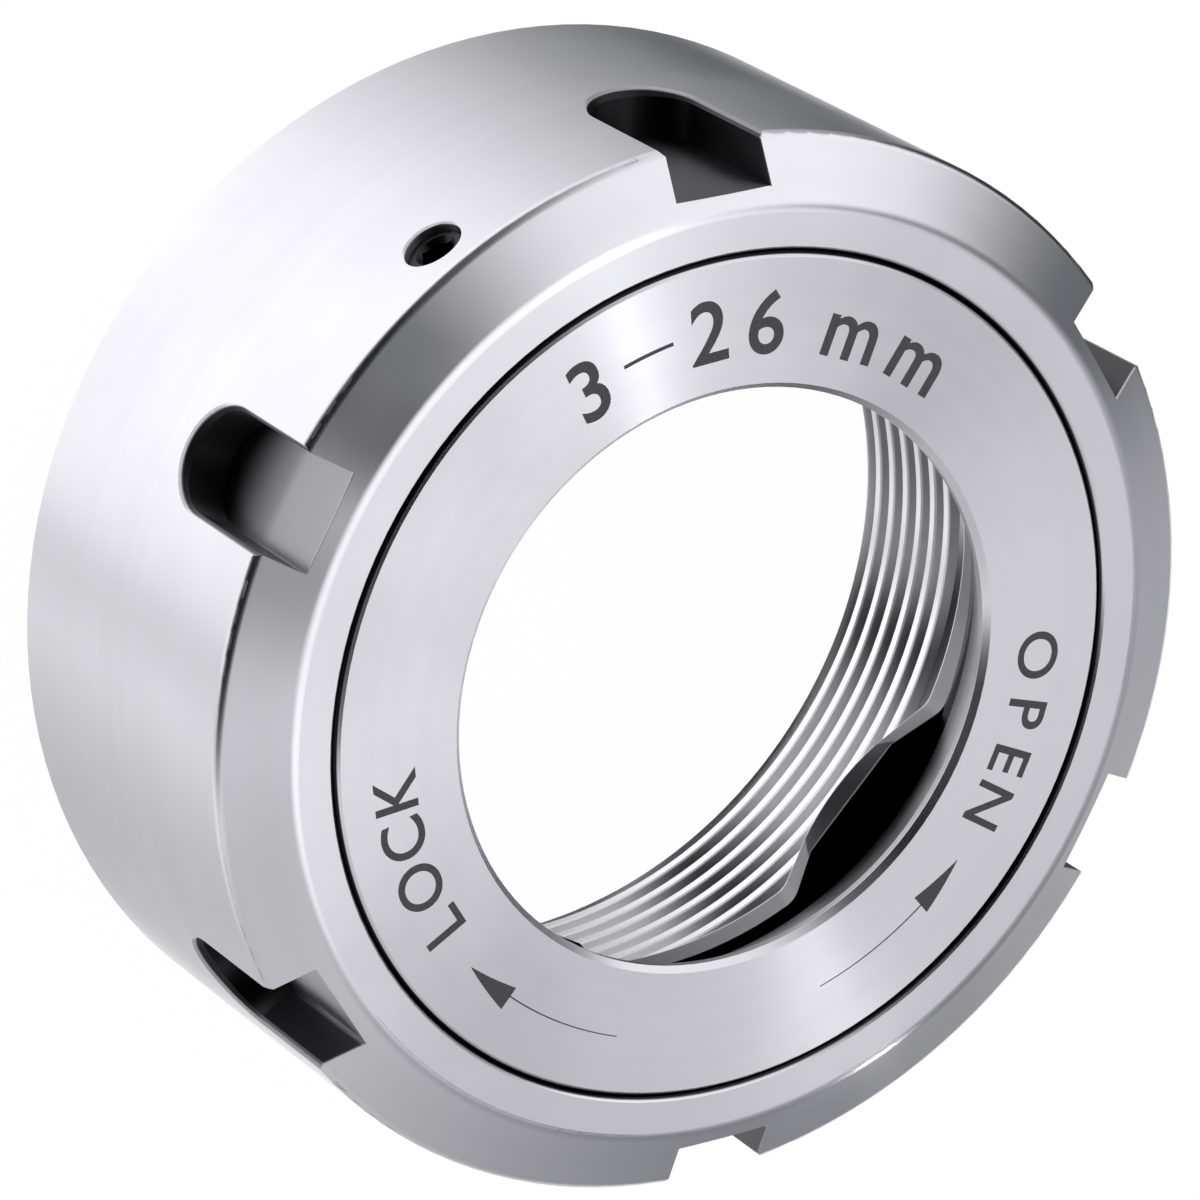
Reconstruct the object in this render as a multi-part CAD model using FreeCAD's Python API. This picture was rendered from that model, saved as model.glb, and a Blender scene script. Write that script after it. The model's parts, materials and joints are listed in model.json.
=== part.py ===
import FreeCAD, Part
import math
import os

# Slotted clamping nut for spring collets, with a front ring that turns on balls.
# Millimetres. The axis is +Z, the rear face lies on Z = 0 and the front face is up.
# Azimuth 0 is +X. The loading hole and its plug look towards -Y.

# Nut body
thread_r = 25.0                # major radius of the M50 x 1.5 thread
body_wall = 6.5                # outer cylinder beyond the thread
body_len = 25.5                # rear face to front face
rear_edge = 0.5                # chamfer round the rear of the cylinder
thread_mouth = 1.0             # chamfer that leads into the thread
thread_end = 10.8              # height where the thread runs out
relief_depth = 0.7             # radial depth of the groove past the thread
relief_len = 4.8               # length of the groove, up to the ring's bore
relief_round = 0.6             # rounding in the corners of the groove
cone_width = 3.8               # radial width of the shallow front cone
cone_drop = 1.85               # fall of the cone from front face to cylinder
face_round = 1.4               # rounding between flat front and cone
shoulder_round = 0.55          # rounding between cone and cylinder

# Front ring, and the gap round it
ring_over_thread = 0.1         # ring's outer cylinder beyond the thread
ring_gap = 0.08                # radial running clearance in the body
ring_len = 9.1                 # front face to rear end
gap_edge_ring = 0.3            # chamfer on the ring's side of the gap
gap_edge_body = 0.25           # chamfer on the body's side of the gap
face_width = 7.9               # ring's outer cylinder to the collet opening
seat_edge = 0.35               # chamfer at the front of the opening
seat_land = 0.4                # short straight land behind the chamfer
seat_angle = 30.0              # half angle of the cone that presses the collet
seat_spread = 2.4              # widening of the cone up to the hook groove
hook_groove_width = 2.59       # axial width of the groove for the collet's rim
hook_dir = 68.0                # azimuth of the groove's deepest point
groove_wall = 2.6              # ring left beyond the groove where it is deepest
groove_shift = 3.0             # groove's centre, moved towards hook_dir
lip_clear = 0.9                # lip outside the end of the cone, where it is nearest
lip_shift = 1.3                # centre of the lip's opening, moved away from hook_dir
lip_bed = 1.1                  # outer wall of the ring that the lip grows from

# Two claws on the lip hook into the collet's groove and pull it off its taper
claw_reach = 1.0               # front corners of the claws' tips inside the end of the cone
claw_rear_back = 0.2           # rear corners of the tips behind the front ones
claw_swell = 0.43              # bulge of the tip's rear edge over a straight one
claw_turn = 37.3               # angle of each claw from hook_dir
claw_half_front = 12.15        # half the angle of a tip's front edge
claw_half_rear = 10.3          # half the angle of a tip's rear edge
claw_half_root = 22.0          # half the angle where the flanks end
claw_root_inset = 0.2          # flanks' ends inside the lip's circle
claw_fillet = 1.4              # rounding where a flank meets the lip

# Ball race shared by body and ring
ball_count = 24                # evenly spaced; a full row would take about 52
ball_r = 1.5
race_gap = 0.025               # radial clearance between ball and race
race_depth = 5.2               # race centre below the front face

# Loading hole with its plug
plug_thread_r = 1.75           # hole and plug, M3.5 fine
plug_gap = 0.03                # radial clearance of the plug in the hole
pass_gap = 0.06                # radial clearance of a ball in the passage
pass_len = 0.735               # passage between the race and the threaded hole
plug_sunk = 0.5                # plug face below the cylinder
hole_edge = 0.12               # chamfer at the mouth of the hole
nose_gap = 0.06                # plug's nose short of the race, and round the nose
hex_flats = 1.8                # key size of the plug
hex_depth = 1.5
plug_edge = 0.15               # chamfer round the plug's outer end
plug_sink = 0.3                # widening of the key socket's mouth

# Spanner slots
slot_count = 6
slot_half = 3.05               # half the width between the walls
slot_depth = 2.9               # flat floor below the outer cylinder
slot_centre = 8.95             # centre of the round end below the front face
slot_bevel = 0.5               # depth of the bevel below the outer cylinder

# Cutters and edge picking
overrun = 2.0                  # how far cutters reach past what they cut
near = 0.01                    # an edge this near its expected place is the one meant

# Sizes that follow from those above
body_r = thread_r + body_wall
relief_r = thread_r + relief_depth
cone_face_r = body_r - cone_width
ring_r = thread_r + ring_over_thread
ring_bore = ring_r + ring_gap
ring_rear = body_len - ring_len
seat_r = ring_r - face_width
seat_end_r = seat_r + seat_spread
seat_top = body_len - seat_edge - seat_land
seat_bottom = seat_top - seat_spread / math.tan(math.radians(seat_angle))
lip_front = seat_bottom - hook_groove_width
seat_tail_r = seat_r + (seat_top - lip_front) * math.tan(math.radians(seat_angle))
groove_r = ring_r - groove_wall - groove_shift
lip_r = seat_end_r + lip_clear + lip_shift
claw_tip_r = seat_end_r - claw_reach
claw_root_r = lip_r - claw_root_inset
lip_bed_r = ring_r - lip_bed
race_r = (ring_r + ring_bore) / 2
race_z = body_len - race_depth
race_tube = ball_r + race_gap
plug_step_r = race_r + race_tube + pass_len
slot_floor = body_r - slot_depth
bevel_from = body_r - slot_bevel
bevel_rise = slot_bevel + overrun
up = FreeCAD.Vector(0, 0, 1)
out = FreeCAD.Vector(1, 0, 0)
centre = FreeCAD.Vector(0, 0, 0)


def save(node, shape):
    """Write one piece as parts/NODE.step, after checking that it is a sound solid."""
    if not shape.isValid():
        raise ValueError(node + " is not a valid solid")
    shape.exportStep(os.path.join("parts", node + ".step"))


def rounded_profile(corners):
    """Closed outline in the XZ plane from (radius, height, rounding) corners.

    A corner with a rounding becomes the arc that touches both of its sides.
    """
    count = len(corners)
    points = [FreeCAD.Vector(radius, 0, height) for radius, height, _ in corners]
    ends = []
    for index, (_, _, rounding) in enumerate(corners):
        here = points[index]
        back = (points[index - 1] - here).normalize()
        ahead = (points[(index + 1) % count] - here).normalize()
        if rounding == 0:
            ends.append((here, None, here))
            continue
        half = back.getAngle(ahead) / 2
        reach = rounding / math.tan(half)
        middle = (back + ahead).normalize()
        nearest = here + middle * (rounding / math.sin(half) - rounding)
        ends.append((here + back * reach, nearest, here + ahead * reach))
    edges = []
    for index, (start, nearest, finish) in enumerate(ends):
        if nearest is not None:
            edges.append(Part.Arc(start, nearest, finish).toShape())
        following = ends[(index + 1) % count][0]
        edges.append(Part.LineSegment(finish, following).toShape())
    return Part.Face(Part.Wire(edges))


def turned(corners):
    """Solid of revolution about the nut's axis."""
    return rounded_profile(corners).revolve(centre, up, 360)


def spun(shape, angle):
    """Copy of a shape turned about the nut's axis."""
    copy = shape.copy()
    copy.rotate(centre, up, angle)
    return copy


def race():
    """The round channel that the balls fill, half in the ring and half in the body."""
    return Part.makeTorus(race_r, race_tube, FreeCAD.Vector(0, 0, race_z), up)


def slot_cutter():
    """Cutter of one spanner slot at azimuth 0, as an end mill and a bevel mill leave it."""
    centre_z = body_len - slot_centre
    reach = slot_centre + overrun
    rise = body_r + overrun - slot_floor
    round_end = Part.makeCylinder(slot_half, rise, FreeCAD.Vector(slot_floor, 0, centre_z), out)
    straight = Part.makeBox(rise, 2 * slot_half, reach)
    straight.translate(FreeCAD.Vector(slot_floor, -slot_half, centre_z))
    wide = slot_half + bevel_rise
    bevel_top = bevel_from + bevel_rise
    bevel_end = Part.makeCone(slot_half, wide, bevel_rise, FreeCAD.Vector(bevel_from, 0, centre_z), out)
    section = Part.makePolygon([
        FreeCAD.Vector(bevel_from, -slot_half, centre_z),
        FreeCAD.Vector(bevel_top, -wide, centre_z),
        FreeCAD.Vector(bevel_top, wide, centre_z),
        FreeCAD.Vector(bevel_from, slot_half, centre_z),
        FreeCAD.Vector(bevel_from, -slot_half, centre_z),
    ])
    bevel = Part.Face(section).extrude(up * reach)
    return round_end.multiFuse([straight, bevel_end, bevel]).removeSplitter()


def facing_front(shape):
    """Turn a piece made along +X so that it looks towards -Y at the race's height."""
    shape.rotate(centre, up, -90)
    shape.translate(FreeCAD.Vector(0, 0, race_z))
    return shape


def loading_hole():
    """Threaded hole, ball passage and mouth chamfer of the loading hole."""
    passage_r = ball_r + pass_gap
    passage = Part.makeCylinder(passage_r, plug_step_r - race_r, FreeCAD.Vector(race_r, 0, 0), out)
    thread = Part.makeCylinder(
        plug_thread_r, body_r + overrun - plug_step_r, FreeCAD.Vector(plug_step_r, 0, 0), out
    )
    mouth = Part.makeCone(
        plug_thread_r, plug_thread_r + hole_edge + overrun, hole_edge + overrun,
        FreeCAD.Vector(body_r - hole_edge, 0, 0), out
    )
    return facing_front(passage.multiFuse([thread, mouth]))


def nut_body():
    """One turned, slotted and threaded piece: thread bore, relief, ring bore and race."""
    solid = turned([
        (thread_r + thread_mouth, 0, 0),
        (body_r - rear_edge, 0, 0),
        (body_r, rear_edge, 0),
        (body_r, body_len - cone_drop, shoulder_round),
        (cone_face_r, body_len, face_round),
        (ring_bore + gap_edge_body, body_len, 0),
        (ring_bore, body_len - gap_edge_body, 0),
        (ring_bore, thread_end + relief_len, 0),
        (relief_r, thread_end + relief_len - (relief_r - ring_bore), relief_round),
        (relief_r, thread_end + relief_depth, relief_round),
        (thread_r, thread_end, 0),
        (thread_r, thread_mouth, 0),
    ])
    cutters = [spun(slot_cutter(), index * 360 / slot_count) for index in range(slot_count)]
    return solid.cut([race(), loading_hole()] + cutters)


def claw(azimuth):
    """One hook of the lip, with sloping flanks.

    Its tip is straight along the front edge and swells towards the axis along the rear edge.
    """

    def outline(height, corner_r, half, swell):

        def point(radius, angle):
            turn = math.radians(angle)
            return FreeCAD.Vector(radius * math.cos(turn), radius * math.sin(turn), height)

        tip = [point(corner_r, -half), point(corner_r, half)]
        if swell:
            middle = point(corner_r * math.cos(math.radians(half)) - swell, 0)
            edge = Part.Arc(tip[0], middle, tip[1])
        else:
            edge = Part.LineSegment(tip[0], tip[1])
        root = [point(claw_root_r, -claw_half_root), point(claw_root_r, claw_half_root)]
        deep = [point(lip_bed_r, -claw_half_root), point(lip_bed_r, claw_half_root)]
        return Part.Wire([
            edge.toShape(),
            Part.LineSegment(tip[1], root[1]).toShape(),
            Part.LineSegment(root[1], deep[1]).toShape(),
            Part.Arc(deep[1], point(lip_bed_r, 0), deep[0]).toShape(),
            Part.LineSegment(deep[0], root[0]).toShape(),
            Part.LineSegment(root[0], tip[0]).toShape(),
        ])

    rear = outline(ring_rear, claw_tip_r + claw_rear_back, claw_half_rear, claw_swell)
    front = outline(lip_front, claw_tip_r, claw_half_front, 0)
    return spun(Part.makeLoft([rear, front], True, True), azimuth)


def shifted_disc(radius, shift, low, high):
    """Short cylinder whose axis is moved along hook_dir."""
    turn = math.radians(hook_dir)
    base = FreeCAD.Vector(shift * math.cos(turn), shift * math.sin(turn), low)
    return Part.makeCylinder(radius, high - low, base, up)


def claw_corners(lip):
    """The upright edges where the claws' flanks run into the lip's opening."""
    found = []
    for edge in lip.Edges:
        low, high = edge.Vertexes[0].Point, edge.Vertexes[-1].Point
        middle = (low + high) / 2
        radius = math.hypot(middle.x, middle.y)
        upright = abs(abs(high.z - low.z) - (lip_front - ring_rear)) < near
        if upright and claw_tip_r + claw_fillet < radius < claw_root_r:
            found.append(edge)
    return found


def hooking_lip():
    """Flat lip behind the hook groove, with its off-centre opening and the two claws."""
    disc = shifted_disc(lip_bed_r, 0, ring_rear, lip_front)
    opening = shifted_disc(lip_r, -lip_shift, ring_rear, lip_front)
    claws = [claw(hook_dir + claw_turn * side) for side in (-1, 1)]
    lip = disc.cut(opening).multiFuse(claws).removeSplitter()
    return lip.makeFillet(claw_fillet, claw_corners(lip))


def clamp_ring():
    """Front ring: collet seat, off-centre hook groove, lip with two claws, ball race."""
    solid = turned([
        (lip_bed_r, ring_rear, 0),
        (ring_r - gap_edge_ring, ring_rear, 0),
        (ring_r, ring_rear + gap_edge_ring, 0),
        (ring_r, body_len - gap_edge_ring, 0),
        (ring_r - gap_edge_ring, body_len, 0),
        (seat_r + seat_edge, body_len, 0),
        (seat_r, body_len - seat_edge, 0),
        (seat_r, seat_top, 0),
        (seat_tail_r, lip_front, 0),
        (lip_bed_r, lip_front, 0),
    ])
    groove = shifted_disc(groove_r, groove_shift, lip_front, seat_bottom)
    return solid.cut([groove, race()]).fuse(hooking_lip()).removeSplitter()


def plug_screw():
    """Set screw that closes the loading hole, with a plain nose and a hexagon socket."""
    face = body_r - plug_sunk
    screw_r = plug_thread_r - plug_gap
    nose_r = ball_r + pass_gap - nose_gap
    nose_tip = race_r + race_tube + nose_gap
    nose = Part.makeCylinder(nose_r, plug_step_r - nose_tip, FreeCAD.Vector(nose_tip, 0, 0), out)
    shank = Part.makeCylinder(screw_r, face - plug_step_r, FreeCAD.Vector(plug_step_r, 0, 0), out)
    rim = [edge for edge in shank.Edges if edge.BoundBox.XMin > face - near]
    shank = shank.makeChamfer(plug_edge, rim)
    corner_r = hex_flats / math.sqrt(3)
    corners = []
    for index in range(7):
        turn = math.radians(60 * index)
        across, upward = corner_r * math.cos(turn), corner_r * math.sin(turn)
        corners.append(FreeCAD.Vector(face - hex_depth, across, upward))
    socket = Part.Face(Part.makePolygon(corners)).extrude(out * (hex_depth + overrun))
    mouth = Part.makeCone(
        hex_flats / 2, hex_flats / 2 + plug_sink, plug_sink, FreeCAD.Vector(face - plug_sink, 0, 0), out
    )
    return facing_front(shank.fuse(nose).cut([socket, mouth]))


def balls():
    """The balls, evenly round the race from azimuth 0."""
    pitch = 360 / ball_count
    first = Part.makeSphere(ball_r, FreeCAD.Vector(race_r, 0, race_z))
    return [spun(first, index * pitch) for index in range(ball_count)]


os.makedirs("parts", exist_ok=True)
save("nut_body", nut_body())
save("clamp_ring", clamp_ring())
save("plug_screw", plug_screw())
for number, ball in enumerate(balls(), start=1):
    save("ball_%02d" % number, ball)
print(ball_count + 3, "pieces; neighbouring balls stand",
      round(2 * race_r * math.sin(math.pi / ball_count) - 2 * ball_r, 2), "mm apart")
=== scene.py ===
# %% [markdown]
# # A slotted collet nut, dressed for a portrait
#
# The real object is a round steel nut that holds a spring collet. It was turned on a lathe, slotted on a
# mill and ground bright. A ring in its front face turns on hidden balls, and carries small etched marks.
#
# The solids come ready made from CAD, as a fixed frame. This lesson adds what a solid doesn't have: the
# light, the finish of each metal, the thread's ridges and the marks. Each step says what the real thing is,
# how it could be made here, and why one way was chosen.

# %% Load the frame
import json
import math

import bpy
import numpy as np
from mathutils import Matrix, Vector


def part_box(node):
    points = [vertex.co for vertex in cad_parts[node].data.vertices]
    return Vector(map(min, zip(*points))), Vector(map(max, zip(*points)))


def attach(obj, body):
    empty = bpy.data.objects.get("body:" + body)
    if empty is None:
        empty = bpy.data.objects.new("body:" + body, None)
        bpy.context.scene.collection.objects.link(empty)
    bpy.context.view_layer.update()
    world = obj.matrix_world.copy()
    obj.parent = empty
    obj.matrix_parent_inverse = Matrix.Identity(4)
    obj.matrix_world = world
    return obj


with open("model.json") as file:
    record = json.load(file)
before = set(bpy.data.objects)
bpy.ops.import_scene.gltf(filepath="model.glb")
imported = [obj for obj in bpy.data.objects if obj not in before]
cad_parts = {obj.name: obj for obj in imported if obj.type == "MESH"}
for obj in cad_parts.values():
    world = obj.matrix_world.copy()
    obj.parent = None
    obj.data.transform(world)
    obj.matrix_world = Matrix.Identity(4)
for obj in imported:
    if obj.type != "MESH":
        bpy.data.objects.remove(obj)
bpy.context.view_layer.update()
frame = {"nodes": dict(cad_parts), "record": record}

MM = 0.001
nodes_at_rest = frame["nodes"]
print("solids:", len(nodes_at_rest))

# %% [markdown]
# ## Sizes that the looks share with the solids
#
# The frame gives every node's box, so most sizes are read from it. The thread's size comes from the
# record's mount, because the ridges that are added later have to sit exactly on the plain bore.

# %% Read the sizes
body_radius, _, front_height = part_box("nut_body")[1]
thread_mount = next(m for m in frame["record"]["mounts"] if m["name"] == "spindle_thread")
thread_radius = thread_mount["dims"]["r_mm"] * MM
print("outer radius %.2f mm, length %.2f mm" % (body_radius / MM, front_height / MM))
print("thread bore radius %.2f mm" % (thread_radius / MM))

# %% [markdown]
# ## The camera
#
# The photograph looks into the front of the nut from above, with the picture turned so that the nut seems
# to lean. A far camera with a long lens gives its flat perspective. The circles of the nut fixed the
# distance and the angles: the gap round the front ring, the opening and the outline all had to land on
# their ellipses. The camera's turn is given by two directions: from the nut back to the camera, and up in
# the picture.

# %% Place the camera
CAMERA_PLACE_MM = (89.395, -227.427, 339.343)
CAMERA_BACK = Vector((0.218503, -0.555783, 0.802098))
CAMERA_UP = Vector((-0.631400, -0.707234, -0.318048))
FOCAL_PIXELS = 7085.3
PICTURE_PIXELS = 1200


def add_camera():
    """Camera whose sight line is minus CAMERA_BACK and whose upper picture edge lies towards CAMERA_UP."""
    data = bpy.data.cameras.new("portrait_camera")
    data.sensor_width = 36.0
    data.lens = FOCAL_PIXELS / PICTURE_PIXELS * data.sensor_width
    data.clip_start, data.clip_end = 0.01, 20.0
    camera = bpy.data.objects.new("portrait_camera", data)
    bpy.context.scene.collection.objects.link(camera)
    back = CAMERA_BACK.normalized()
    right = CAMERA_UP.cross(back).normalized()
    up = back.cross(right)
    turn = Matrix((right, up, back)).transposed().to_4x4()
    camera.matrix_world = Matrix.Translation(Vector(CAMERA_PLACE_MM) * MM) @ turn
    bpy.context.scene.camera = camera
    return camera


camera = add_camera()
bpy.context.scene.view_settings.view_transform = "Standard"
print("lens %.1f mm, %.0f mm from the nut" % (camera.data.lens, camera.location.length / MM))

# %% [markdown]
# ## Small helpers for node trees
#
# Materials are networks of nodes, and a few helpers keep their recipes short. One adds a node and fills its
# sockets from values or from other nodes' outputs. Others stand for arithmetic, a smooth step, a mix and a
# curve round the azimuth, and the last makes a node group with named inputs and outputs.

# %% Node helpers


def add_node(tree, kind, settings=None, **sockets):
    """New node of a kind. Settings are its properties; sockets are filled by name, _ standing for a space."""
    node = tree.nodes.new(kind)
    for name, value in (settings or {}).items():
        setattr(node, name, value)
    for name, value in sockets.items():
        key = int(name[1:]) if name[0] == "i" and name[1:].isdigit() else name.replace("_", " ")
        socket = node.inputs[key]
        if isinstance(value, bpy.types.NodeSocket):
            tree.links.new(value, socket)
        else:
            socket.default_value = value
    return node


def math_node(tree, operation, *values):
    """One arithmetic step on one to three values, and its result."""
    sockets = {"i%d" % index: value for index, value in enumerate(values)}
    return add_node(tree, "ShaderNodeMath", {"operation": operation}, **sockets).outputs[0]


def product(tree, first, *others):
    """Product of two or more values."""
    for value in others:
        first = math_node(tree, "MULTIPLY", first, value)
    return first


def vector_node(tree, operation, output, *values):
    """One step on vectors, and the output that is asked for: Vector or Value."""
    sockets = {"i%d" % index: value for index, value in enumerate(values)}
    return add_node(tree, "ShaderNodeVectorMath", {"operation": operation}, **sockets).outputs[output]


def in_millimetres(tree, place):
    """A point in metres, as a point in millimetres and as its x, y and z."""
    scaled = add_node(tree, "ShaderNodeVectorMath", {"operation": "SCALE"}, i0=place, Scale=1 / MM).outputs[0]
    return scaled, *add_node(tree, "ShaderNodeSeparateXYZ", Vector=scaled).outputs


def off_axis(tree, place):
    """The part of a point's place across the nut's axis, and its length, which is the radius."""
    flat = vector_node(tree, "MULTIPLY", "Vector", place, (1.0, 1.0, 0.0))
    return flat, vector_node(tree, "LENGTH", "Value", flat)


def share_of_turn(tree, x, y):
    """Azimuth of x and y as a share of a full turn, from 0 to 1."""
    return math_node(tree, "FRACT", math_node(tree, "DIVIDE", math_node(tree, "ARCTAN2", y, x), 2 * math.pi))


def ramp(tree, value, low, high, to_low=0.0, to_high=1.0):
    """Smooth step of a value: to_low below low, to_high above high, and an S curve between."""
    node = add_node(tree, "ShaderNodeMapRange", {"interpolation_type": "SMOOTHSTEP"},
                    Value=value, From_Min=low, From_Max=high, To_Min=to_low, To_Max=to_high)
    return node.outputs["Result"]


def blend(tree, factor, first, second):
    """Mix of two colours by a factor from 0, all first, to 1, all second."""
    node = add_node(tree, "ShaderNodeMix", {"data_type": "RGBA"}, i0=factor, i6=first, i7=second)
    return node.outputs[2]


COOL = 0.04            # blue that a black stop has over its green, and green over its red
COOL_BELOW = 1 / 3     # level where a stop is plain grey


def stop_curve(tree, turn, stops):
    """Grey by azimuth, as a smooth curve through (azimuth, level) stops, closed on itself.

    turn is the share of a full turn. The first stop stands at azimuth 0. Dark stops are slightly blue, in
    proportion to how far their level lies below COOL_BELOW.
    """
    node = add_node(tree, "ShaderNodeValToRGB", Fac=turn)
    node.color_ramp.interpolation = "CARDINAL"
    elements = node.color_ramp.elements
    for azimuth, level in stops[1:]:
        elements.new(azimuth / 360.0)
    for element, (azimuth, level) in zip(elements, stops + [(360, stops[0][1])]):
        element.position = azimuth / 360.0
        cool = COOL * max(0.0, 1.0 - level / COOL_BELOW)
        element.color = (level * (1.0 - cool), level, level * (1.0 + cool), 1.0)
    return node.outputs["Color"]


def new_group(name, inputs, outputs):
    """Shader node group with named sockets. Returns its tree, its input node and its output node."""
    tree = bpy.data.node_groups.new(name, "ShaderNodeTree")
    for label, kind, value in inputs:
        socket = tree.interface.new_socket(label, in_out="INPUT", socket_type=kind)
        if value is not None:
            socket.default_value = value
    for label, kind in outputs:
        tree.interface.new_socket(label, in_out="OUTPUT", socket_type=kind)
    return tree, tree.nodes.new("NodeGroupInput"), tree.nodes.new("NodeGroupOutput")


# %% [markdown]
# ## The studio
#
# Polished steel has hardly any colour of its own. It shows the room, so the room has to be right before the
# metal can be. A product studio hangs soft white boxes and grey cards round the part. They could be
# modelled as lamps and planes, but a sky that is worked out from the direction alone does the same with no
# noise.
#
# Seen from the camera, the cylinder mirrors a low belt of that sky and the front cone a higher one. So the
# sky is a drum with two rings of cards, each a smooth curve of light levels round the azimuth. A card's level
# follows from how bright the photograph shows the metal that mirrors it, and was then adjusted by comparing
# renders with the photograph. Three round spots lie over the drum: the bright ceiling that the front face
# mirrors, and two dark ones.
#
# What the camera sees directly stays plain white.

# %% Sky with a drum of cards
LOW_CARDS = [
    # azimuth, light
    (0, 0.95), (26, 0.66), (62, 0.63), (80, 0.76), (100, 1.25), (128, 0.95), (139, 0.17), (158, 0.18),
    (172, 0.31), (195, 0.53), (245, 1.16), (310, 1.25), (336, 1.07), (348, 0.75),
]
HIGH_CARDS = [
    # azimuth, light
    (0, 0.80), (20, 0.61), (50, 0.60), (82, 0.31), (104, 0.23), (131, 0.42), (152, 0.18), (170, 1.02),
    (206, 1.00), (224, 0.77), (246, 0.17), (268, 0.12), (285, 0.02), (300, 0.20), (317, 0.57), (336, 0.21),
]
DRUM_EDGE = -14.0, -4.0     # elevation where the low ring ends and the high ring begins
CARD_PEAK = 2.0             # brightest light that a curve or a spot may hold
SPOTS = [
    # azimuth, elevation, outer and inner half width in degrees, light
    (111.0, 72.0, 28.5, 12.0, 1.3),
    (306.0, 18.0, 52.0, 32.0, 0.005),
    (166.0, -12.0, 27.0, 12.0, 0.01),
]
OPEN_SKY = 0.85             # light on dull surfaces, the same from all sides


def direction(azimuth, elevation):
    """Unit vector of a compass angle about +Z, from +X, and an angle above the horizon, in degrees."""
    turn, rise = math.radians(azimuth), math.radians(elevation)
    return math.cos(rise) * math.cos(turn), math.cos(rise) * math.sin(turn), math.sin(rise)


def card_ring(tree, turn, cards):
    """Light by azimuth from a ring of cards, as a share of CARD_PEAK."""
    return stop_curve(tree, turn, [(azimuth, light / CARD_PEAK) for azimuth, light in cards])


def add_sky():
    """World with two rings of cards and three spots for reflections, and plain white for the camera."""
    world = bpy.data.worlds.new("studio")
    bpy.context.scene.world = world
    world.use_nodes = True
    tree = world.node_tree
    tree.nodes.clear()
    ray = add_node(tree, "ShaderNodeTexCoord").outputs["Generated"]
    x, y, z = add_node(tree, "ShaderNodeSeparateXYZ", Vector=ray).outputs
    turn = share_of_turn(tree, x, y)
    rise = math_node(tree, "DEGREES", math_node(tree, "ARCSINE", z))
    cards = blend(tree, ramp(tree, rise, *DRUM_EDGE), card_ring(tree, turn, LOW_CARDS),
                  card_ring(tree, turn, HIGH_CARDS))
    for azimuth, elevation, outer, inner, light in SPOTS:
        toward = vector_node(tree, "DOT_PRODUCT", "Value", ray, direction(azimuth, elevation))
        toward = math_node(tree, "MINIMUM", toward, 0.9999)
        away = math_node(tree, "DEGREES", math_node(tree, "ARCCOSINE", toward))
        level = light / CARD_PEAK
        cards = blend(tree, ramp(tree, away, inner, outer, 1.0, 0.0), cards, (level, level, level, 1.0))
    cards = add_node(tree, "ShaderNodeVectorMath", {"operation": "SCALE"}, i0=cards,
                     Scale=CARD_PEAK).outputs[0]
    path = add_node(tree, "ShaderNodeLightPath")
    lit = blend(tree, path.outputs["Is Glossy Ray"], (OPEN_SKY, OPEN_SKY, OPEN_SKY, 1.0), cards)
    seen = math_node(tree, "MAXIMUM", path.outputs["Is Camera Ray"], path.outputs["Is Transmission Ray"])
    colour = blend(tree, seen, lit, (1.0, 1.0, 1.0, 1.0))
    background = add_node(tree, "ShaderNodeBackground", Color=colour, Strength=1.0)
    out = add_node(tree, "ShaderNodeOutputWorld")
    tree.links.new(background.outputs[0], out.inputs["Surface"])
    world.cycles.sampling_method = "NONE"
    return world


add_sky()
print("cards:", len(LOW_CARDS), "low,", len(HIGH_CARDS), "high")

# %% [markdown]
# ## The floor
#
# The nut stands on a pale table. A plain diffuse floor would turn grey under the nut's bore, where little
# light gets in, while the photograph is white there. So the floor glows a little for the camera, and the
# rest of it is an ordinary pale surface that keeps a soft shadow. Reflections look past it to the sky,
# which holds the boxes and cards that hang low round the nut.

# %% Pale floor
FLOOR_HALF = 3.0
FLOOR_GLOW = 0.985


def add_floor():
    """Square plane on Z = 0 with a pale material that is part glow, part diffuse."""
    corners = np.array([(-1, -1, 0), (1, -1, 0), (1, 1, 0), (-1, 1, 0)], float) * FLOOR_HALF
    mesh = bpy.data.meshes.new("floor")
    mesh.from_pydata(corners.tolist(), [], [(0, 1, 2, 3)])
    floor = bpy.data.objects.new("floor", mesh)
    bpy.context.scene.collection.objects.link(floor)
    material = bpy.data.materials.new("pale_table")
    material.use_nodes = True
    tree = material.node_tree
    tree.nodes.clear()
    pale = add_node(tree, "ShaderNodeBsdfDiffuse", Color=(0.93, 0.93, 0.94, 1.0))
    glow = add_node(tree, "ShaderNodeEmission", Color=(1.0, 1.0, 1.0, 1.0), Strength=1.0)
    path = add_node(tree, "ShaderNodeLightPath")
    seen = math_node(tree, "MAXIMUM", path.outputs["Is Camera Ray"], path.outputs["Is Transmission Ray"])
    seen = math_node(tree, "MAXIMUM", seen, path.outputs["Is Glossy Ray"])
    share = math_node(tree, "MULTIPLY", seen, FLOOR_GLOW)
    mix = add_node(tree, "ShaderNodeMixShader", i0=share, i1=pale.outputs[0], i2=glow.outputs[0])
    out = add_node(tree, "ShaderNodeOutputMaterial")
    tree.links.new(mix.outputs[0], out.inputs["Surface"])
    mesh.materials.append(material)
    floor.visible_glossy = False
    return floor


add_floor()

# %% [markdown]
# ## Three lamps
#
# One wide soft lamp over the front gives the floor its gentle shadow. It lights dull surfaces only. Two
# small lamps show in the metal only: the fine grooves of the front face draw each of them out into a bright
# radial streak, one near the top of the picture and one near the bottom.

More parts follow.
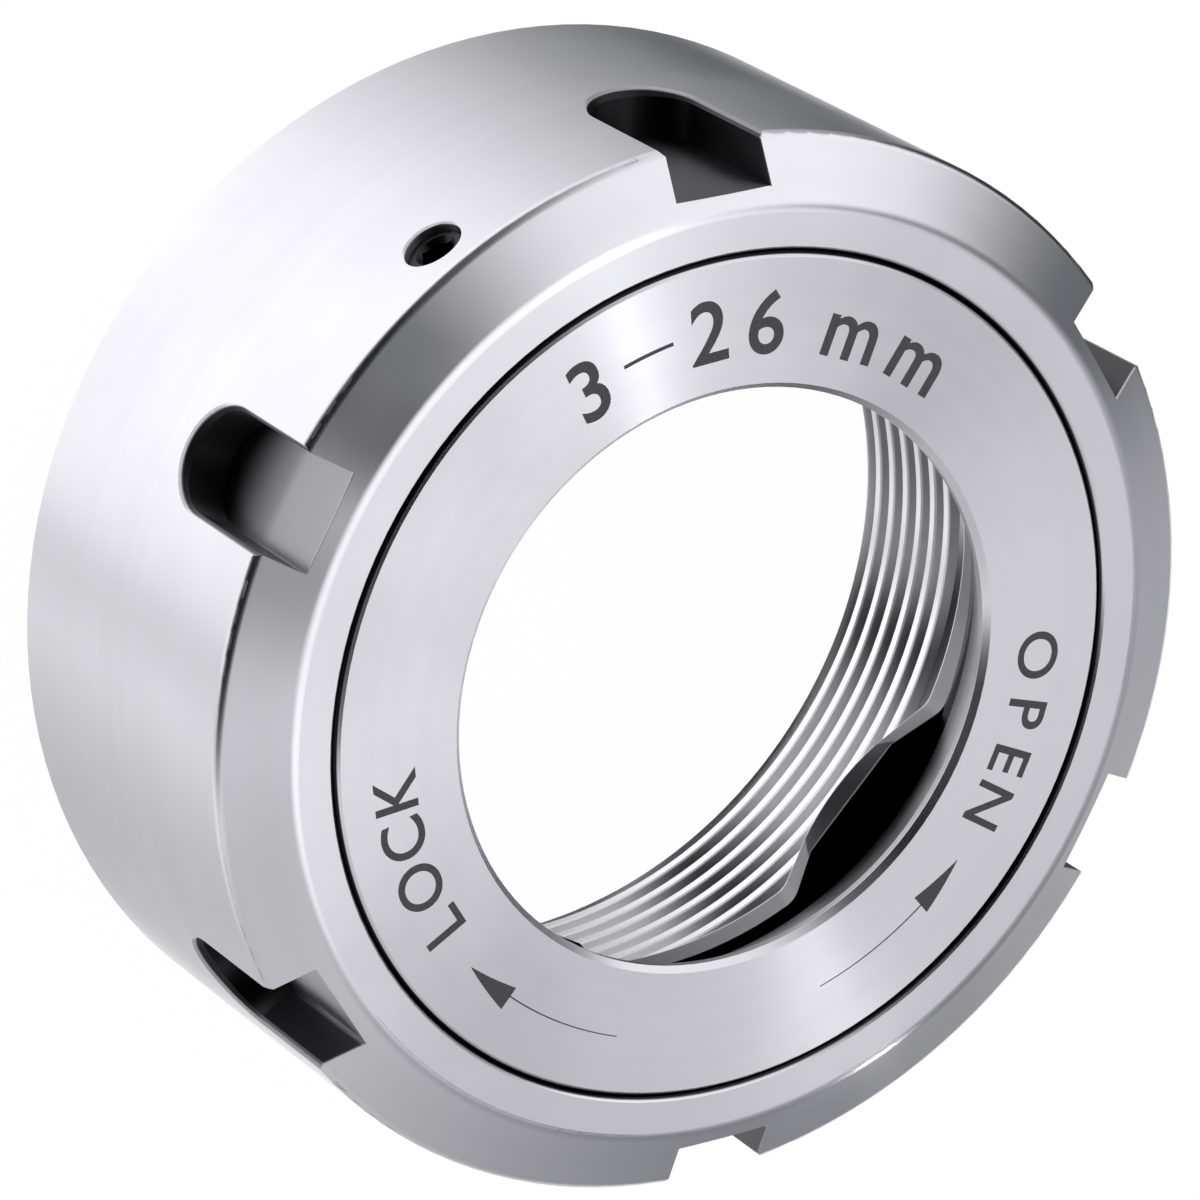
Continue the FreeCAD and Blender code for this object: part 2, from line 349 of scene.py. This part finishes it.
# %% Lamps
LAMPS = [
    # name, azimuth, elevation, distance, size in metres, power in watts, what it lights
    ("key_lamp", 188.0, 68.0, 0.60, 0.22, 1.0, "diffuse"),
    ("high_streak_lamp", 156.8, 69.2, 0.60, 0.012, 0.12, "glossy"),
    ("low_streak_lamp", 99.6, 27.0, 0.60, 0.012, 0.055, "glossy"),
]


def add_lamp(name, azimuth, elevation, distance, size, power, lights):
    """Square area lamp that looks at the middle of the nut from a direction, for one kind of surface."""
    data = bpy.data.lights.new(name, "AREA")
    data.size, data.energy = size, power
    lamp = bpy.data.objects.new(name, data)
    bpy.context.scene.collection.objects.link(lamp)
    toward = Vector(direction(azimuth, elevation))
    turn = toward.to_track_quat("Z", "Y").to_matrix().to_4x4()
    lamp.matrix_world = Matrix.Translation(toward * distance) @ turn
    lamp.visible_glossy = lights == "glossy"
    lamp.visible_diffuse = lights == "diffuse"
    return lamp


for lamp in LAMPS:
    add_lamp(*lamp)
print("lamps:", [lamp[0] for lamp in LAMPS])

# %% [markdown]
# ## Turning marks
#
# A lathe tool leaves fine grooves that run round the axis on every turned face: circles on the front, rings
# on the cylinder. They could be painted from an image, but a rule is shorter: noise that depends only on
# the distance from the axis and on the height is constant round the nut, so its bumps are grooves. A little
# of the angle is added so that no groove is perfect. The same group serves every steel here, each with its
# own values.

# %% Group for turning marks


def turning_marks_group():
    """Noise of (radius, height) at two scales, wavering slowly with the angle; plus a large soft cloud."""
    tree, given, result = new_group(
        "turning_marks",
        [("Vector", "NodeSocketVector", None), ("Grooves per mm", "NodeSocketFloat", 8.0),
         ("Waver", "NodeSocketFloat", 0.6)],
        [("Groove", "NodeSocketFloat"), ("Band", "NodeSocketFloat"), ("Cloud", "NodeSocketFloat")])
    x, y, z = add_node(tree, "ShaderNodeSeparateXYZ", Vector=given.outputs["Vector"]).outputs
    flat, radius = off_axis(tree, given.outputs["Vector"])
    angle = math_node(tree, "MULTIPLY", math_node(tree, "ARCTAN2", y, x), given.outputs["Waver"])
    per_metre = math_node(tree, "DIVIDE", given.outputs["Grooves per mm"], MM)
    fine = add_node(tree, "ShaderNodeCombineXYZ", X=product(tree, radius, per_metre),
                    Y=product(tree, z, per_metre), Z=angle)
    coarse = add_node(tree, "ShaderNodeVectorMath", {"operation": "SCALE"}, i0=fine.outputs[0], Scale=0.12)
    groove = add_node(tree, "ShaderNodeTexNoise", Vector=fine.outputs[0], Scale=1.0, Detail=3.0)
    band = add_node(tree, "ShaderNodeTexNoise", Vector=coarse.outputs[0], Scale=1.0, Detail=2.0)
    cloud = add_node(tree, "ShaderNodeTexNoise", Vector=given.outputs["Vector"], Scale=90.0, Detail=3.0)
    tree.links.new(groove.outputs[0], result.inputs["Groove"])
    tree.links.new(band.outputs[0], result.inputs["Band"])
    tree.links.new(cloud.outputs[0], result.inputs["Cloud"])
    return tree


turning_marks = turning_marks_group()

# %% [markdown]
# ## Dark corners
#
# Light that enters a slot, the gap round the ring or the pocket behind the opening is caught after a few
# bounces. A deep enough simulation would need a dark room as well as a white one. It is simpler to paint
# that shade into the steel's colour and to say where the corners are: each is a product of smooth steps of
# the radius and the height, with the solids' own sizes as limits. The slots' floors are painted lighter
# towards the front and darker on the side towards minus X.
#
# The same group also tells which points lie on a milled slot, which is duller, and which on the turned
# outside.

# %% Group for painted shade in dark corners, sizes in mm
GAP_RADIUS = 25.14              # middle of the gap between ring and body
GAP_HALF = 0.17                 # half its width at the chamfers
RING_REAR = 16.42               # rear end of the ring and of the gap
POCKET_FLOOR, POCKET_TOP = 17.9, 20.62      # front of the lip, and where the hook groove begins
POCKET_INNER, POCKET_OUTER = 18.7, 24.4     # radii between which the groove lies
CLAW_TIP = 18.76                # radius of the claws' tips
SLOT_LOW = 12.9                 # just below the slots' round ends
# Painted shade on a slot's floor grows lighter between the next two heights.
SLOT_END = 14.5                 # height above which a slot's floor grows lighter
SLOT_CLEAR = 5.2                # distance below the front where it is lightest
SLOT_FLOOR = 28.6               # distance of the flat floor from the axis
CONE_FOOT = 27.7                # radius where the front cone starts
CONE_SLOPE = 1.85 / 3.8         # its fall over its width


def painted_shade_group():
    """Share of colour left by painted shade, 0 to 1, at a point in metres: gap, hook pocket and spanner
    slots.

    depth is how far the point lies below the turned outside: its cylinder or its cone, the nearer one.
    """
    tree, given, result = new_group("painted_shade", [("Vector", "NodeSocketVector", None)],
                                    [("Light", "NodeSocketFloat"), ("Milled", "NodeSocketFloat"),
                                     ("Outside", "NodeSocketFloat")])
    scaled, x, y, z = in_millimetres(tree, given.outputs["Vector"])
    flat, radius = off_axis(tree, scaled)
    top, rim = front_height / MM, body_radius / MM
    inside = ramp(tree, radius, POCKET_OUTER - 0.2, POCKET_OUTER, 1.0, 0.0)

    # Painted shade in the gap round the ring.
    off_gap = math_node(tree, "ABSOLUTE", math_node(tree, "SUBTRACT", radius, GAP_RADIUS))
    gap = product(tree, ramp(tree, off_gap, GAP_HALF, GAP_HALF + 0.06, 0.97, 0.0),
                  ramp(tree, z, RING_REAR - 0.5, RING_REAR - 0.3),
                  ramp(tree, z, top - 0.18, top - 0.06, 1.0, 0.0))

    # Painted shade in the hook pocket, graded down the ring's inner taper, and on the lip below it.
    over_lip = ramp(tree, z, POCKET_FLOOR, POCKET_FLOOR + 0.05)
    pocket = product(tree, inside, over_lip, ramp(tree, z, POCKET_TOP - 0.25, POCKET_TOP + 0.05, 0.97, 0.0),
                     ramp(tree, radius, POCKET_INNER, POCKET_INNER + 0.4))
    taper = product(tree, inside, over_lip, ramp(tree, z, top - 4.9, top - 0.5, 0.94, 0.50),
                    ramp(tree, z, top - 0.42, top - 0.34, 1.0, 0.0))
    lip = product(tree, inside, math_node(tree, "SUBTRACT", 1.0, over_lip),
                  ramp(tree, radius, CLAW_TIP, CLAW_TIP + 0.14, 0.98, 0.72),
                  ramp(tree, z, RING_REAR, RING_REAR + 0.08))

    cone_height = math_node(tree, "SUBTRACT", top + CONE_FOOT * CONE_SLOPE, product(tree, radius, CONE_SLOPE))
    depth = math_node(tree, "MINIMUM", math_node(tree, "SUBTRACT", rim, radius),
                      math_node(tree, "SUBTRACT", cone_height, z))
    # Painted shade on the slots' walls and floors; the floors lighter towards the front and on one side.
    walls = product(tree, ramp(tree, depth, 0.05, 0.28, 0.0, 0.76),
                    ramp(tree, radius, SLOT_FLOOR + 0.22, SLOT_FLOOR + 0.5))
    far_side = ramp(tree, x, -8.0, -4.0, 0.82, 0.23)
    floor = product(tree, ramp(tree, z, SLOT_END, top - SLOT_CLEAR, 0.95, far_side),
                    ramp(tree, radius, SLOT_FLOOR - 0.3, SLOT_FLOOR - 0.05), ramp(tree, depth, 0.10, 0.22))
    slots = product(tree, math_node(tree, "MAXIMUM", walls, floor), ramp(tree, z, SLOT_LOW - 0.3, SLOT_LOW))

    dark = gap
    for corner in (pocket, taper, lip, slots):
        dark = math_node(tree, "MAXIMUM", dark, corner)
    tree.links.new(math_node(tree, "SUBTRACT", 1.0, dark), result.inputs["Light"])
    tree.links.new(ramp(tree, slots, 0.05, 0.3), result.inputs["Milled"])
    tree.links.new(ramp(tree, depth, 0.12, 0.17, 1.0, 0.0), result.inputs["Outside"])
    return tree


painted_shade = painted_shade_group()

# %% [markdown]
# ## Exact normals on the turned outside
#
# A mesh rounds an edge in a few facets, and polished steel shows every one of them as a bead in the
# highlight. The turned outline is known exactly, though: flat face, rounding, cone, rounding, cylinder.
# Round each rounding the normal's tilt is the angle seen from the rounding's own centre, held between the
# tilts of its neighbours. The shoulder is rounded a little wider here than in the solid, as far as its
# highlight shows.

# %% Group for turned normals, sizes in mm
CONE_TILT = math.atan(CONE_SLOPE)
CONE_DROP = 1.85                # fall of the cone from the front face to the cylinder
FACE_ROUND = 1.4                # rounding between front face and cone
SHOULDER_ROUND = 0.72           # rounding between cone and cylinder


def turned_normal_group():
    """Unit normal, in the piece's own space, of the turned outside at a point given in metres."""
    tree, given, result = new_group("turned_normal", [("Vector", "NodeSocketVector", None)],
                                    [("Normal", "NodeSocketVector")])
    scaled, x, y, z = in_millimetres(tree, given.outputs["Vector"])
    flat, radius = off_axis(tree, scaled)
    rim, top = body_radius / MM, front_height / MM

    def tilt_about(centre_radius, centre_height, least, most):
        tilt = math_node(tree, "ARCTAN2", math_node(tree, "SUBTRACT", radius, centre_radius),
                         math_node(tree, "SUBTRACT", z, centre_height))
        return math_node(tree, "MINIMUM", math_node(tree, "MAXIMUM", tilt, least), most)

    face = tilt_about(CONE_FOOT - FACE_ROUND * math.tan(CONE_TILT / 2), top - FACE_ROUND, 0.0, CONE_TILT)
    turn = (math.pi / 2 - CONE_TILT) / 2
    shoulder = tilt_about(rim - SHOULDER_ROUND, top - CONE_DROP - SHOULDER_ROUND * math.tan(turn),
                          CONE_TILT, math.pi / 2)
    outer_half = math_node(tree, "GREATER_THAN", radius, (CONE_FOOT + rim) / 2)
    tilt = math_node(tree, "MAXIMUM", face, product(tree, shoulder, outer_half))
    outward = vector_node(tree, "NORMALIZE", "Vector", flat)
    side = add_node(tree, "ShaderNodeVectorMath", {"operation": "SCALE"}, i0=outward,
                    Scale=math_node(tree, "SINE", tilt)).outputs[0]
    rise = add_node(tree, "ShaderNodeCombineXYZ", Z=math_node(tree, "COSINE", tilt)).outputs[0]
    tree.links.new(vector_node(tree, "ADD", "Vector", side, rise), result.inputs["Normal"])
    return tree


turned_normal = turned_normal_group()

# %% [markdown]
# ## The steels
#
# Each steel is one Principled shader. Its grooves are far finer than a pixel, so most of their effect is
# not bump but direction: light spreads across the grooves and hardly along them. Anisotropy does that, with
# the tangent running round the axis and turned a quarter. A faint bump, a slow change of roughness and a
# slight change of colour keep it from looking like plastic.
#
# The thread's valleys are a case of their own. Light reaches their floors only after several bounces
# between the ridges, so their shade and light are painted into their colour as tones round the azimuth,
# set by comparing renders with the photograph. The crests keep the steel's.

# %% Turned steel
# Painted shade: the black that the colour goes to in the dark corners.
PAINTED_SHADE_BLACK = (0.004, 0.004, 0.005, 1.0)      # steel in a corner that no light reaches
DARKER = 0.985                              # share of colour where the marks are dark
GLOSS_SPREAD = 0.15                         # share that the roughness drifts by
MILLED_ROUGHNESS = 0.5
# Painted shade and light in the thread's valleys: how deep it reaches, where it fades, and its tones.
VALLEY_DEPTH = 0.64, 0.80                   # mm inside the major radius, where the valleys' tone fades out
REAR_TURN = 1.3, 2.2, 0.25                  # heights in mm and the tone's share in the rearmost turn
VALLEY_ROUGHNESS = 0.55                     # keeps them from mirroring the ring's rear face
PAINTED_VALLEY_SHADE = [
    # azimuth, painted tone of shade and light
    (0, 0.60), (64, 0.95), (75, 0.90), (83, 0.32), (89, 0.32), (97, 0.80), (104, 1.00), (119, 0.80),
    (129, 0.28), (136, 0.60), (142, 0.76), (156, 0.48), (180, 0.60), (215, 0.32), (245, 0.75), (285, 0.36),
    (325, 0.75),
]
STEELS = {
    # name: colour, roughness, anisotropy, grooves per mm, bump in micrometres, valleys' painted shade, exact
    # normals
    "body_steel": ((0.796, 0.788, 0.842), 0.19, 0.90, 7.0, 0.04, None, True),
    "ring_steel": ((0.810, 0.800, 0.858), 0.22, 0.96, 9.0, 0.05),
    "thread_steel": ((0.90, 0.895, 0.94), 0.20, 0.3, 6.0, 0.05, PAINTED_VALLEY_SHADE),
}


def turned_steel(name, colour, roughness, anisotropy, grooves, bump_um, valley=None, exact=False):
    """Metal whose roughness and colour drift with the turning marks and whose bump is their grooves.

    valley is a list of tones by azimuth, painted shade and light for a thread's valleys. The colour also
    goes to black in the dark corners, as painted shade. exact takes the normals of the turned outside from
    their group.
    """
    material = bpy.data.materials.new(name)
    material.use_nodes = True
    tree = material.node_tree
    tree.nodes.clear()
    place = add_node(tree, "ShaderNodeTexCoord").outputs["Object"]
    marks = add_node(tree, "ShaderNodeGroup", {"node_tree": turning_marks},
                     Vector=place, Grooves_per_mm=grooves)
    darker = tuple(channel * DARKER for channel in colour) + (1.0,)
    drift = ramp(tree, marks.outputs["Band"], 0.35, 0.65)
    base = blend(tree, drift, darker, colour + (1.0,))
    corners = add_node(tree, "ShaderNodeGroup", {"node_tree": painted_shade}, Vector=place).outputs
    # Painted shade: the colour goes to black in the gap, the hook pocket and the slots.
    base = blend(tree, corners["Light"], PAINTED_SHADE_BLACK, base)
    # Painted shade and light: the valleys' colour follows tones round the azimuth, fainter in the rearmost
    # turn.
    if valley:
        flat, radius = off_axis(tree, place)
        x, y, z = add_node(tree, "ShaderNodeSeparateXYZ", Vector=place).outputs
        shallow, deep = [thread_radius - reach * MM for reach in VALLEY_DEPTH]
        low, high, share = REAR_TURN
        in_valley = product(tree, ramp(tree, radius, deep, shallow),
                            ramp(tree, z, low * MM, high * MM, share, 1.0))
        turn = share_of_turn(tree, x, y)
        base = blend(tree, in_valley, base, stop_curve(tree, turn, valley))
    gloss = ramp(tree, marks.outputs["Cloud"], 0.3, 0.7,
                 roughness * (1 - GLOSS_SPREAD), roughness * (1 + GLOSS_SPREAD))
    gloss = math_node(tree, "MAXIMUM", gloss, product(tree, corners["Milled"], MILLED_ROUGHNESS))
    if valley:
        gloss = math_node(tree, "MAXIMUM", gloss, product(tree, in_valley, VALLEY_ROUGHNESS))
    smooth = add_node(tree, "ShaderNodeNewGeometry").outputs["Normal"]
    if exact:
        group = add_node(tree, "ShaderNodeGroup", {"node_tree": turned_normal}, Vector=place)
        exact_normal = add_node(tree, "ShaderNodeVectorTransform",
                                {"vector_type": "NORMAL", "convert_from": "OBJECT", "convert_to": "WORLD"},
                                Vector=group.outputs[0]).outputs[0]
        smooth = add_node(tree, "ShaderNodeMix", {"data_type": "VECTOR"}, i0=corners["Outside"],
                          i4=smooth, i5=exact_normal).outputs[1]
    bump = add_node(tree, "ShaderNodeBump", Strength=1.0, Distance=bump_um * 1e-6,
                    Height=marks.outputs["Groove"], Normal=smooth)
    tangent = add_node(tree, "ShaderNodeTangent", {"direction_type": "RADIAL", "axis": "Z"})
    shader = add_node(tree, "ShaderNodeBsdfPrincipled", Base_Color=base, Metallic=1.0, Roughness=gloss,
                      Anisotropic=anisotropy, Anisotropic_Rotation=0.25,
                      Normal=bump.outputs[0], Tangent=tangent.outputs[0])
    out = add_node(tree, "ShaderNodeOutputMaterial")
    tree.links.new(shader.outputs[0], out.inputs["Surface"])
    return material


steels = {name: turned_steel(name, *values) for name, values in STEELS.items()}


def dress(node, material):
    """Give a CAD node its finish through its own material slot."""
    for slot in nodes_at_rest[node].material_slots:
        slot.material = material


dress("nut_body", steels["body_steel"])
dress("clamp_ring", steels["ring_steel"])

# %% [markdown]
# ## Black plug and bright balls
#
# The set screw that closes the loading hole is blackened steel: dark, a little glossy, with a bright worn
# rim. The balls are ground and lapped, so they are almost mirrors, with only a breath of haze.

# %% Plug and balls


def plain_metal(name, colour, roughness, spread, scale, worn=None):
    """Metal whose roughness and tone follow one cloud of noise. worn is a centre, a radius and a colour."""
    material = bpy.data.materials.new(name)
    material.use_nodes = True
    tree = material.node_tree
    tree.nodes.clear()
    place = add_node(tree, "ShaderNodeTexCoord").outputs["Object"]
    cloud = add_node(tree, "ShaderNodeTexNoise", Vector=place, Scale=scale, Detail=4.0).outputs[0]
    dark = tuple(channel * (1.0 - spread) for channel in colour) + (1.0,)
    base = blend(tree, ramp(tree, cloud, 0.35, 0.65), dark, colour + (1.0,))
    if worn:
        axis_point, reach, bright = worn
        off = vector_node(tree, "SUBTRACT", "Vector", place, axis_point)
        flat = vector_node(tree, "MULTIPLY", "Vector", off, (1.0, 0.0, 1.0))
        away = vector_node(tree, "LENGTH", "Value", flat)
        base = blend(tree, ramp(tree, away, reach - 0.08 * MM, reach), base, bright + (1.0,))
    gloss = ramp(tree, cloud, 0.3, 0.7, roughness * 0.8, roughness * 1.2)
    bump = add_node(tree, "ShaderNodeBump", Strength=1.0, Distance=1e-6, Height=cloud)
    shader = add_node(tree, "ShaderNodeBsdfPrincipled", Base_Color=base, Metallic=1.0, Roughness=gloss,
                      Normal=bump.outputs[0])
    out = add_node(tree, "ShaderNodeOutputMaterial")
    tree.links.new(shader.outputs[0], out.inputs["Surface"])
    return material


plug_low, plug_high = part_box("plug_screw")
plug_axis = [(low + high) / 2 for low, high in zip(plug_low, plug_high)]
plug_radius = (plug_high[2] - plug_low[2]) / 2
black_steel = plain_metal("black_steel", (0.045, 0.045, 0.05), 0.32, 0.4, 2500.0,
                          (plug_axis, plug_radius - 0.06 * MM, (0.45, 0.45, 0.48)))
ball_steel = plain_metal("ball_steel", (0.80, 0.80, 0.82), 0.07, 0.03, 900.0)
dress("plug_screw", black_steel)
balls = [name for name in nodes_at_rest if name.startswith("ball_")]
for name in balls:
    dress(name, ball_steel)
print("balls:", len(balls))

# %% [markdown]
# ## A mesh from a grid
#
# The thread and the arrows are surfaces worked out as whole arrays: a function of two parameters, sampled
# on a grid. This helper turns such a grid of points into a mesh. A grid can close on itself across, its last
# column joined to its first as a ring or a tube is, and its first and last rows can be capped.

# %% Grid to mesh


def grid_object(name, grid, close_across=False, cap_ends=False, material=None, body="housing", sharp=30.0):
    """Object from points grid[i, j]: each cell of four neighbours is one face, in the order i, then j.

    close_across joins the last column to the first. cap_ends fills the first and last row.
    """
    rows, columns = grid.shape[:2]
    wrap = columns if close_across else columns - 1
    i = np.arange(rows - 1)[:, None]
    j = np.arange(wrap)[None, :]
    right = (j + 1) % columns
    cells = np.stack([i * columns + j, i * columns + right, (i + 1) * columns + right,
                      (i + 1) * columns + j], axis=-1).reshape(-1, 4).tolist()
    if cap_ends:
        cells.append(list(range(columns))[::-1])
        cells.append([(rows - 1) * columns + k for k in range(columns)])
    mesh = bpy.data.meshes.new(name)
    mesh.from_pydata(grid.reshape(-1, 3).tolist(), [], cells)
    mesh.update()
    mesh.set_sharp_from_angle(angle=math.radians(sharp))
    piece = bpy.data.objects.new(name, mesh)
    bpy.context.scene.collection.objects.link(piece)
    if material is not None:
        mesh.materials.append(material)
    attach(piece, body)
    print(name, "faces:", len(mesh.polygons))
    return piece


# %% [markdown]
# ## The thread
#
# The solid's bore is plain, at the thread's major radius. The real thread is one ridge wound like a spring,
# with 60 degree flanks and a narrow flat crest. It could be made with a screw modifier, but a profile
# carried along a helix is exact: the crest and both feet are corners of one closed outline, and the outline
# climbs one pitch in each turn. At the rear the ridge is cut by the bore's entry chamfer, and at the front
# it stops at the relief groove, so its points are held between those limits.

# %% Wind the thread
PITCH = 1.5 * MM
CREST_RADIUS = thread_radius - 0.812 * MM       # minor radius of this thread
FOOT_RADIUS = thread_radius + 0.03 * MM         # a little way into the body
BACK_RADIUS = FOOT_RADIUS + 0.05 * MM           # back of the ridge, buried in the body
CREST_HALF = 0.155 * PITCH                      # half the width of the flat crest
FLANK_SLOPE = math.tan(math.radians(30.0))      # climb along the axis for each step outwards
FLANK_RUN = (FOOT_RADIUS - CREST_RADIUS) * FLANK_SLOPE
CHAMFER_REACH = thread_radius + 1.0 * MM        # radius of the entry chamfer at the rear face
THREAD_LOW = 0.93 * MM
THREAD_HIGH = 10.8 * MM
STEPS_PER_TURN = 144
FIRST_CREST = math.radians(146.0), 3.0 * MM     # azimuth and height of one point of the crest


def thread_ridge():
    """Closed outline of the ridge, wound up a right-handed helix of one pitch a turn.

    The height of a point is the ridge's centre height plus its offset. The radius is the crest's within
    CREST_HALF of the centre and rises along the flank's slope beyond it, up to the foot. Heights are held
    between THREAD_LOW and THREAD_HIGH, and the radius is never less than the entry chamfer's there.
    """
    start_angle, start_height = FIRST_CREST
    reach = CREST_HALF + FLANK_RUN
    low_turn = (THREAD_LOW - reach - start_height) / PITCH
    high_turn = (THREAD_HIGH + reach - start_height) / PITCH
    turns = np.arange(math.ceil(low_turn * STEPS_PER_TURN), math.floor(high_turn * STEPS_PER_TURN) + 1)
    angle = turns / STEPS_PER_TURN * 2 * math.pi
    centre = start_height + PITCH * turns / STEPS_PER_TURN
    offset = np.array([-reach, -CREST_HALF, CREST_HALF, reach])
    height = np.clip(centre[:, None] + offset[None, :], THREAD_LOW, THREAD_HIGH)
    away = np.maximum(np.abs(height - centre[:, None]) - CREST_HALF, 0.0)
    radius = np.minimum(CREST_RADIUS + away / FLANK_SLOPE, FOOT_RADIUS)
    radius = np.maximum(radius, np.minimum(CHAMFER_REACH - height, FOOT_RADIUS))
    back = np.full((len(turns), 1), BACK_RADIUS)
    radius = np.hstack([radius, back, back])
    height = np.hstack([height, height[:, 3:4], height[:, 0:1]])
    turn = (start_angle + angle)[:, None]
    return np.stack([radius * np.cos(turn), radius * np.sin(turn), height], axis=-1)


thread = grid_object("spindle_thread_ridge", thread_ridge(), close_across=True, cap_ends=True,
                     material=steels["thread_steel"], body="housing")

# %% [markdown]
# ## The marks on the front ring
#
# The words, numbers and arrows are etched: dull grey, flush with the face, with crisp edges. They could be
# drawn in the ring's material, but their edges would need an image. Thin plates that lie in the face are
# sharp at any distance. Each plate is sunk into the ring and stands only a few micrometres proud.

# %% Etched grey
MARK_PROUD = 0.006 * MM
MARK_SUNK = 0.03 * MM


def etched_grey():
    """Dull dark grey, mottled like an etched or laser-marked surface."""
    material = bpy.data.materials.new("etched_grey")
    material.use_nodes = True
    tree = material.node_tree
    tree.nodes.clear()
    place = add_node(tree, "ShaderNodeTexCoord").outputs["Object"]
    fleck = add_node(tree, "ShaderNodeTexNoise", Vector=place, Scale=6000.0, Detail=3.0).outputs[0]
    base = blend(tree, ramp(tree, fleck, 0.3, 0.7), (0.055, 0.055, 0.062, 1.0), (0.085, 0.085, 0.095, 1.0))
    gloss = ramp(tree, fleck, 0.3, 0.7, 0.45, 0.6)
    shader = add_node(tree, "ShaderNodeBsdfPrincipled", Base_Color=base, Metallic=0.6, Roughness=gloss)
    out = add_node(tree, "ShaderNodeOutputMaterial")
    tree.links.new(shader.outputs[0], out.inputs["Surface"])
    return material


mark_grey = etched_grey()

# %% [markdown]
# ### Words and numbers
#
# Each letter stands upright on the ring's radius, with its head outwards. Blender's own text object gives
# the shape. It is made a mesh first, then turned and moved in its vertices, so the piece's own origin stays
# at the centre of the nut.

# %% Letters round the ring
WORDS = [
    # name, letters with their azimuths, radius of their middle and height in mm, weight
    ("mark_lock", [("L", 359.8), ("O", 351.9), ("C", 343.3), ("K", 335.3)], 21.6, 2.80, 0.010),
    ("mark_open", [("O", 142.3), ("P", 132.4), ("E", 124.5), ("N", 116.7)], 21.1, 2.80, 0.010),
    ("mark_range", [("3", 265.0), ("2", 243.5), ("6", 233.3), ("m", 217.3), ("m", 203.6)],
     21.2, 3.75, 0.012),
]
THICK = MARK_PROUD + MARK_SUNK
CAPITAL = 0.729                 # height of a capital letter in the built-in font at size 1


def letter_mesh(letter, height, weight):
    """Closed flat letter as vertices and faces: centred across, and at half the capital height along."""
    curve = bpy.data.curves.new("letter", "FONT")
    curve.body = letter
    curve.size = 1.0
    curve.offset = weight
    curve.extrude = 0.5
    curve.resolution_u = 8
    holder = bpy.data.objects.new("letter", curve)
    bpy.context.scene.collection.objects.link(holder)
    ready = holder.evaluated_get(bpy.context.evaluated_depsgraph_get())
    mesh = bpy.data.meshes.new_from_object(ready)
    points = np.empty(len(mesh.vertices) * 3)
    mesh.vertices.foreach_get("co", points)
    points = points.reshape(-1, 3)
    faces = [list(face.vertices) for face in mesh.polygons]
    bpy.data.objects.remove(holder)
    bpy.data.curves.remove(curve)
    bpy.data.meshes.remove(mesh)
    points[:, 0] -= (points[:, 0].min() + points[:, 0].max()) / 2
    points[:, 1] -= CAPITAL / 2
    points[:, :2] *= height / CAPITAL
    points[:, 2] = (points[:, 2] > 0) * THICK
    return points, faces


def etched_word(name, letters, radius, height, weight):
    """Letters turned so that their heads point away from the axis, joined in one piece on the ring's face."""
    all_points, all_faces, count = [], [], 0
    for letter, azimuth in letters:
        points, faces = letter_mesh(letter, height * MM, weight)
        turn = math.radians(azimuth)
        outward = np.array([math.cos(turn), math.sin(turn), 0.0])
        along = np.array([math.sin(turn), -math.cos(turn), 0.0])
        placed = points[:, :1] * along + (points[:, 1:2] + radius * MM) * outward
        placed[:, 2] = front_height - MARK_SUNK + points[:, 2]
        all_points.append(placed)
        all_faces += [[index + count for index in face] for face in faces]
        count += len(placed)
    mesh = bpy.data.meshes.new(name)
    mesh.from_pydata(np.vstack(all_points).tolist(), [], all_faces)
    mesh.materials.append(mark_grey)
    piece = bpy.data.objects.new(name, mesh)
    bpy.context.scene.collection.objects.link(piece)
    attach(piece, "front_ring")
    print(name, "letters:", len(letters), "faces:", len(all_faces))
    return piece


for word in WORDS:
    etched_word(*word)

# %% [markdown]
# ### Arrows
#
# Each arrow is a slim triangle with a hairline tail that bends with the ring. Both are strips along an arc:
# the strip's half width is a function of the angle, so one function draws the head, the tail and the dash.

# %% Arrows and dash
STRIPS = [
    # name, azimuth and half width in mm at the two ends, radius in mm
    ("arrow_lock_head", (9.0, 0.02), (18.1, 0.73), 21.64),
    ("arrow_lock_tail", (18.0, 0.045), (39.7, 0.03), 21.5),
    ("arrow_open_head", (106.8, 0.02), (97.7, 0.70), 21.2),
    ("arrow_open_tail", (97.8, 0.045), (76.8, 0.03), 21.22),
    ("range_dash", (258.6, 0.11), (249.8, 0.11), 21.1),
]


def etched_strip(name, start, finish, radius):
    """Flat strip along an arc: azimuth and half width run evenly from start to finish, top and bottom."""
    (first, first_half), (last, last_half) = start, finish
    if first > last:
        first, first_half, last, last_half = last, last_half, first, first_half
    steps = max(2, int(last - first) + 1)
    turn = np.radians(np.linspace(first, last, steps))
    half = np.linspace(first_half, last_half, steps)
    side = np.array([-1.0, 1.0, 1.0, -1.0])
    top = np.array([0.0, 0.0, 1.0, 1.0])
    reach = (radius + half[:, None] * side[None, :]) * MM
    height = front_height - MARK_SUNK + top * THICK + 0.0 * reach
    grid = np.stack([reach * np.cos(turn)[:, None], reach * np.sin(turn)[:, None], height], axis=-1)
    piece = grid_object(name, grid, close_across=True, cap_ends=True, material=mark_grey, body="front_ring")
    return piece


for strip in STRIPS:
    etched_strip(*strip)
